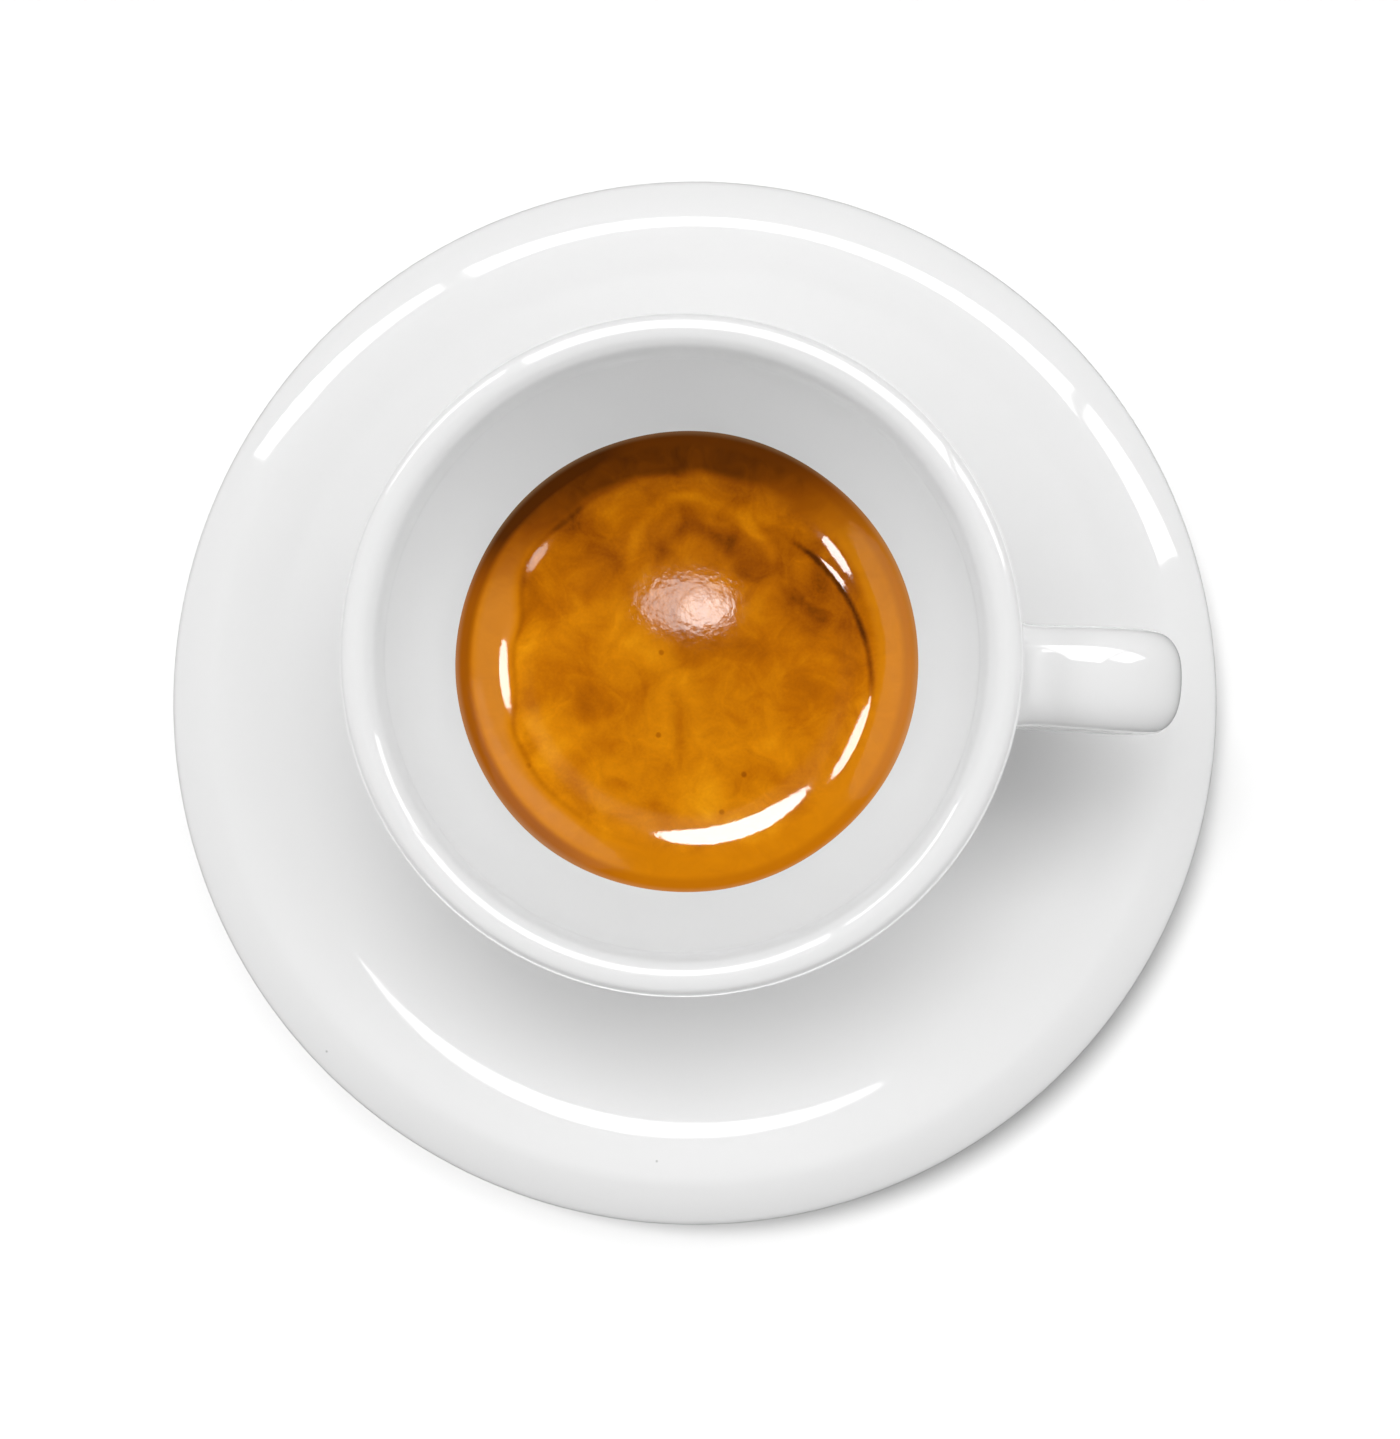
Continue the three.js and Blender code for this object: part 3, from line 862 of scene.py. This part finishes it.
# %% Crema: surface
# The ramp's two ends come first, and then the stops between them
CREMA_STOPS = (
    (0, "#5A2A00"), (1, "#F2A010"), (0.25, "#9A4E00"), (0.5, "#BE6A00"), (0.75, "#DA8404"),
)
# Painted sheen: a whitish reflection mixed into the ring's colour on the left, kept off the shaded
# side
PAINTED_SHEEN = {"inside": (0.3, 1.2), "outside": (22.4, 21.4), "share": 0.03, "colour": "#F4E4D0"}
SHEEN_OFF_SHADED_SIDE = (16, 8)
WALL_FILM = {"reach": (23.1, 23.95), "share": 0.4, "colour": "#CFAE84"}
RIPPLE_SIZE = 0.9
RIPPLE_DEPTH = 0.0075
CREMA_ROUGHNESS = 0.06

crema_ramp = add_node(
    crema_tree, "ShaderNodeValToRGB", {"Fac": tone},
    stops=[(position, linear(colour)) for position, colour in CREMA_STOPS],
)
# A painted whitish sheen stands for a reflection on the ring's left,
# and the film on the wall is thin
painted_sheen = foam_math(
    "MULTIPLY",
    foam_step(past_start, *PAINTED_SHEEN["inside"]),
    foam_step(from_middle, *PAINTED_SHEEN["outside"]),
)
painted_sheen = foam_math("MULTIPLY", foam_math("MULTIPLY", painted_sheen, to_left), PAINTED_SHEEN["share"])
painted_sheen = foam_math("MULTIPLY", painted_sheen, foam_step(to_shaded_side, *SHEEN_OFF_SHADED_SIDE))
with_painted_sheen = add_node(
    crema_tree, "ShaderNodeMix",
    {"Factor": painted_sheen, "A": crema_ramp.outputs["Color"], "B": linear(PAINTED_SHEEN["colour"])},
    data_type="RGBA",
)
crema_colour = add_node(
    crema_tree, "ShaderNodeMix",
    {
        "Factor": foam_step(from_middle, *WALL_FILM["reach"], 0, WALL_FILM["share"]),
        "A": with_painted_sheen.outputs["Result"],
        "B": linear(WALL_FILM["colour"]),
    },
    data_type="RGBA",
)
crema_tree.links.new(crema_colour.outputs["Result"], crema_shader.inputs["Base Color"])
ripples = foam_noise(crema_flat, RIPPLE_SIZE, Detail=2, Roughness=0.5)
crema_bump = add_node(
    crema_tree, "ShaderNodeBump",
    {"Height": ripples, "Strength": 1, "Distance": RIPPLE_DEPTH * MM},
)
crema_tree.links.new(crema_bump.outputs["Normal"], crema_shader.inputs["Normal"])
crema_shader.inputs["Roughness"].default_value = CREMA_ROUGHNESS
coffee.data.materials.append(crema)
print("material of the coffee:", crema.name)

# %% [markdown]
# The table is a plain sheet of white paper, which only catches the shadow. The room's soft
# light makes it grey, and a lamp of its own, further down, brings it to white.

# %% Floor
FLOOR_SIZE = 1.6
PAPER_GREY = (0.45, 0.45, 0.45, 1)
PAPER_GLOW = 0.03

floor_mesh = bmesh.new()
bmesh.ops.create_grid(floor_mesh, x_segments=1, y_segments=1, size=FLOOR_SIZE)
floor_data = bpy.data.meshes.new("table_top")
floor_mesh.to_mesh(floor_data)
floor_mesh.free()
floor = bpy.data.objects.new("table_top", floor_data)
bpy.context.scene.collection.objects.link(floor)
paper, _, paper_shader = new_material("matt_white_paper")
paper_shader.inputs["Base Color"].default_value = PAPER_GREY
paper_shader.inputs["Emission Color"].default_value = (1, 1, 1, 1)
paper_shader.inputs["Emission Strength"].default_value = PAPER_GLOW
paper_shader.inputs["Roughness"].default_value = 1
paper_shader.inputs["Specular IOR Level"].default_value = 0
floor.data.materials.append(paper)
floor.visible_glossy = False
print("paper is mirrored in the glaze:", floor.visible_glossy)

# %% [markdown]
# The soft light of the room is a world shader, because it depends on direction alone.
# Each light is a patch of the sky between two zenith angles: daylight from high above the
# picture's upper edge, which throws the handle's shadow, pale walls to the left and to the
# right, and a little from everywhere. Mirror images see only a faint grey instead, because
# what shines in the glaze are the windows and lamps that follow. The camera sees a white
# backdrop, where a low view looks past the paper.

# %% Soft lights
SOFT_LIGHTS = (
    {"zenith": (0, 90), "azimuth": 0, "half_width": 180, "strength": 0.08},
    {"zenith": (10, 27), "azimuth": 180, "half_width": 22.5, "strength": 1.6},
    {"zenith": (10, 27), "azimuth": 225, "half_width": 22.5, "strength": 6.6},
    {"zenith": (10, 27), "azimuth": 270, "half_width": 22.5, "strength": 12.2},
    {"zenith": (10, 27), "azimuth": 315, "half_width": 22.5, "strength": 9.2},
    {"zenith": (27, 50), "azimuth": 90, "half_width": 45, "strength": 0.7},
    {"zenith": (27, 50), "azimuth": 270, "half_width": 45, "strength": 0.8},
    {"zenith": (50, 75), "azimuth": 0, "half_width": 45, "strength": 2.2},
    {"zenith": (50, 75), "azimuth": 180, "half_width": 45, "strength": 2.3},
    {"zenith": (50, 75), "azimuth": 270, "half_width": 45, "strength": 0.25},
)

world = bpy.data.worlds.new("pale_room")
bpy.context.scene.world = world
world.use_nodes = True
sky = world.node_tree
sky.nodes.clear()


def calculate(operation, *values):
    """One step of arithmetic in the world's node tree."""
    inputs = dict(enumerate(values))
    return add_node(sky, "ShaderNodeMath", inputs, operation=operation).outputs[0]


# The picture's azimuths run clockwise from its right, and the world's run anticlockwise.
# The slacks let the light from everywhere reach straight up and all the way round.
TOP_SLACK = 0.0001
SIDE_SLACK = 0.001
direction = add_node(sky, "ShaderNodeTexCoord", {}).outputs["Generated"]
parts = add_node(sky, "ShaderNodeSeparateXYZ", {0: direction}).outputs
world_azimuth = calculate("ARCTAN2", parts["Y"], parts["X"])
picture_azimuth = calculate("SUBTRACT", PICTURE_TURN, world_azimuth)
soft = 0
for light in SOFT_LIGHTS:
    top, bottom = (math.cos(math.radians(zenith)) for zenith in light["zenith"])
    below_top = calculate("LESS_THAN", parts["Z"], top + TOP_SLACK)
    above_bottom = calculate("GREATER_THAN", parts["Z"], bottom)
    off_middle = calculate("SUBTRACT", picture_azimuth, math.radians(light["azimuth"]))
    edge = math.cos(math.radians(light["half_width"])) - SIDE_SLACK
    beside = calculate("GREATER_THAN", calculate("COSINE", off_middle), edge)
    patch = calculate("MULTIPLY", calculate("MULTIPLY", below_top, above_bottom), beside)
    soft = calculate("MULTIPLY_ADD", patch, light["strength"], soft)
print("soft lights:", len(SOFT_LIGHTS))

# %% World shader
MIRRORED_FILL = 0.05
BACKDROP_STRENGTH = 1.25

path = add_node(sky, "ShaderNodeLightPath", {}).outputs
mirrored = calculate(
    "MULTIPLY", path["Is Glossy Ray"], calculate("LESS_THAN", path["Diffuse Depth"], 0.5)
)
less = calculate("MULTIPLY", mirrored, calculate("SUBTRACT", MIRRORED_FILL, soft))
seen = calculate(
    "MULTIPLY", path["Is Camera Ray"], calculate("SUBTRACT", BACKDROP_STRENGTH, soft)
)
strength = calculate("ADD", calculate("ADD", soft, less), seen)
background = add_node(sky, "ShaderNodeBackground", {"Strength": strength})
add_node(sky, "ShaderNodeOutputWorld", {"Surface": background.outputs[0]})
print("nodes of the room's light:", len(sky.nodes))

# %% [markdown]
# What the glaze mirrors are three windows in a wall beyond the picture's upper edge. They
# are area lamps without any share in the matt shading, given as on their wall: how far to
# the side, and how high, both as a share of the wall's distance. Light linking keeps them
# to the porcelain, because the foam has mirror images of its own.

# %% Helper that makes a lamp only mirror images see


def mirrored_lamp(name, matrix, width, height, radiance, seen_by, shape="RECTANGLE", cone=90):
    """An area lamp that shines within a cone, given by the angle from its axis in degrees."""
    data = bpy.data.lights.new(name, "AREA")
    data.shape = shape
    data.size = width
    data.size_y = height
    data.energy = radiance * math.pi * width * height
    # A narrow cone keeps the lamp's power, so the radiance ahead is divided out again
    if cone < 90:
        half = math.radians(cone)
        data.spread = 2 * half
        data.energy *= 1 - half / math.tan(half)
    data.use_nodes = True
    # Neither matt bounces nor images of images see the lamp
    depths = add_node(data.node_tree, "ShaderNodeLightPath", {}).outputs
    depth = add_node(
        data.node_tree, "ShaderNodeMath",
        {0: depths["Diffuse Depth"], 1: 2, 2: depths["Glossy Depth"]},
        operation="MULTIPLY_ADD",
    ).outputs[0]
    first = add_node(data.node_tree, "ShaderNodeMath", {0: depth, 1: 1.5}, operation="LESS_THAN")
    data.node_tree.links.new(
        first.outputs[0], data.node_tree.nodes["Emission"].inputs["Strength"]
    )
    lamp = bpy.data.objects.new(name, data)
    lamp.matrix_world = matrix
    lamp.visible_diffuse = False
    lamp.visible_camera = False
    bpy.context.scene.collection.objects.link(lamp)
    lamp.light_linking.receiver_collection = seen_by
    return lamp


def receivers(name, pieces):
    """A collection of the pieces that a lamp is linked to."""
    group = bpy.data.collections.new(name)
    for piece in pieces:
        group.objects.link(piece)
    return group


def facing_back(ahead, sideways):
    """Turns a lamp so that its front looks back along the direction."""
    upright = ahead.cross(sideways)
    return Matrix((sideways, upright, ahead)).transposed().to_4x4()


# %% Windows
WALL_AZIMUTH = 278
WALL_DISTANCE = 5
WINDOW_RADIANCE = 7
WINDOWS = {
    "window_middle": {"across": (-0.75, 0.85), "up": (0.97, 3.42)},
    "window_left": {"across": (-2.5, -0.84), "up": (1.0, 1.9)},
    "window_right": {"across": (0.93, 2), "up": (0.97, 2.4)},
}

porcelain = receivers("porcelain", [saucer, cup])
wall_turn = PICTURE_TURN - math.radians(WALL_AZIMUTH)
wall_ahead = Vector((math.cos(wall_turn), math.sin(wall_turn), 0))
wall_right = Vector((math.sin(wall_turn), -math.cos(wall_turn), 0))
for name, window in WINDOWS.items():
    (left, right), (low, high) = window["across"], window["up"]
    middle = wall_ahead + wall_right * (left + right) / 2 + Vector((0, 0, (low + high) / 2))
    mirrored_lamp(
        name,
        Matrix.Translation(middle * WALL_DISTANCE) @ facing_back(wall_ahead, wall_right),
        (right - left) * WALL_DISTANCE,
        (high - low) * WALL_DISTANCE,
        WINDOW_RADIANCE,
        porcelain,
    )
print("windows:", len(WINDOWS))

# %% [markdown]
# The foam is no exact bowl, and it mirrors windows and ceiling lights from all sides. Each
# of its highlights gets a lamp of its own, which is put where the foam would mirror it to
# the camera. A highlight is given by its distance from the middle and by its azimuth.
# The foam's bend would mirror a ceiling light a second time, as a thin ring round the
# level part. So the two ceiling lights hang low and shine in a narrow cone, which reaches
# the level part alone.

# %% Highlights of the foam
FOAM_LAMP_DISTANCE = 0.8
CEILING_LAMP_DISTANCE = 0.1
CEILING_LAMP_CONE = 2.6
FOAM_HIGHLIGHTS = {
    "crescent_below": {"radius": (17, 18.8), "azimuth": (45, 102), "radiance": 19},
    "glint_right": {"radius": (18.4, 19.4), "azimuth": (13, 39), "radiance": 15},
    "glint_left": {"radius": (18.4, 19.4), "azimuth": (165, 187), "radiance": 15},
    "glint_upper_right": {"radius": (18.5, 19.4), "azimuth": (317, 332), "radiance": 17},
    "glint_upper_left": {"radius": (18.4, 19.3), "azimuth": (210, 220), "radiance": 5},
}
CEILING_LIGHTS = {
    "ceiling_glow": {"radius": 6.2, "azimuth": 270, "size": (9.5, 5.4), "radiance": 8},
    "ceiling_lamp": {"radius": 5.6, "azimuth": 291, "size": (5, 3.2), "radiance": 8},
}


def foam_slope(radius):
    """How steeply the foam climbs there, in radians."""
    along_bend = min(max(radius - LEVEL_RADIUS, 0) / FOAM_BEND_RADIUS, 1)
    return math.asin(along_bend)


def outwards_at(azimuth):
    """The level direction from the cup's middle at an azimuth of the picture."""
    turn = PICTURE_TURN - math.radians(azimuth)
    return Vector((math.cos(turn), math.sin(turn), 0))


def on_foam(radius, azimuth):
    """The place on the level foam, in metres."""
    return (CUP_PLACE + outwards_at(azimuth) * radius + Vector((0, 0, LEVEL_HEIGHT))) * MM


def mirrored_way(radius, azimuth):
    """The direction whose light the foam at that place sends to the camera."""
    slope = foam_slope(radius)
    normal = Vector((0, 0, math.cos(slope))) - outwards_at(azimuth) * math.sin(slope)
    back = (CAMERA_AT - on_foam(radius, azimuth)).normalized()
    return 2 * normal.dot(back) * normal - back


foam_only = receivers("foam", [coffee])
for name, light in FOAM_HIGHLIGHTS.items():
    (near, far), (start, end) = light["radius"], light["azimuth"]
    middle = mirrored_way((near + far) / 2, (start + end) / 2).normalized()
    across = mirrored_way((near + far) / 2, end) - mirrored_way((near + far) / 2, start)
    upwards = mirrored_way(far, (start + end) / 2) - mirrored_way(near, (start + end) / 2)
    sideways = (across - across.dot(middle) * middle).normalized()
    mirrored_lamp(
        name,
        Matrix.Translation(middle * FOAM_LAMP_DISTANCE) @ facing_back(middle, sideways),
        across.length * FOAM_LAMP_DISTANCE,
        upwards.length * FOAM_LAMP_DISTANCE,
        light["radiance"],
        foam_only,
        "ELLIPSE",
    )

widening = 1 + CEILING_LAMP_DISTANCE / (CAMERA_AT.z - (CUP_PLACE.z + LEVEL_HEIGHT) * MM)
for name, light in CEILING_LIGHTS.items():
    overhead = mirrored_way(light["radius"], light["azimuth"]).normalized()
    sideways = (picture_right - picture_right.dot(overhead) * overhead).normalized()
    lamp_at = on_foam(light["radius"], light["azimuth"]) + overhead * CEILING_LAMP_DISTANCE
    mirrored_lamp(
        name,
        Matrix.Translation(lamp_at) @ facing_back(overhead, sideways),
        light["size"][0] * MM * widening,
        light["size"][1] * MM * widening,
        light["radiance"],
        foam_only,
        "ELLIPSE",
        CEILING_LAMP_CONE,
    )
print("highlights of the foam:", len(FOAM_HIGHLIGHTS) + len(CEILING_LIGHTS))

# %% [markdown]
# The saucer throws a narrow shadow on the paper, down to the right. A distant lamp that
# only the paper receives draws it, and adds the rest of the paper's white.

# %% Light on the paper
PAPER_LIGHT_AZIMUTH = 225
PAPER_LIGHT_ZENITH = 17
PAPER_LIGHT_SPREAD = 15
PAPER_LIGHT_STRENGTH = 4.1

paper_turn = PICTURE_TURN - math.radians(PAPER_LIGHT_AZIMUTH)
paper_tilt = math.radians(PAPER_LIGHT_ZENITH)
paper_data = bpy.data.lights.new("paper_light", "SUN")
paper_data.energy = PAPER_LIGHT_STRENGTH
paper_data.angle = math.radians(PAPER_LIGHT_SPREAD)
paper_light = bpy.data.objects.new("paper_light", paper_data)
paper_light.matrix_world = (
    Matrix.Rotation(paper_turn, 4, "Z") @ Matrix.Rotation(paper_tilt, 4, "Y")
)
bpy.context.scene.collection.objects.link(paper_light)
paper_light.light_linking.receiver_collection = receivers("paper_only", [floor])
print("light on the paper comes from azimuth", PAPER_LIGHT_AZIMUTH)
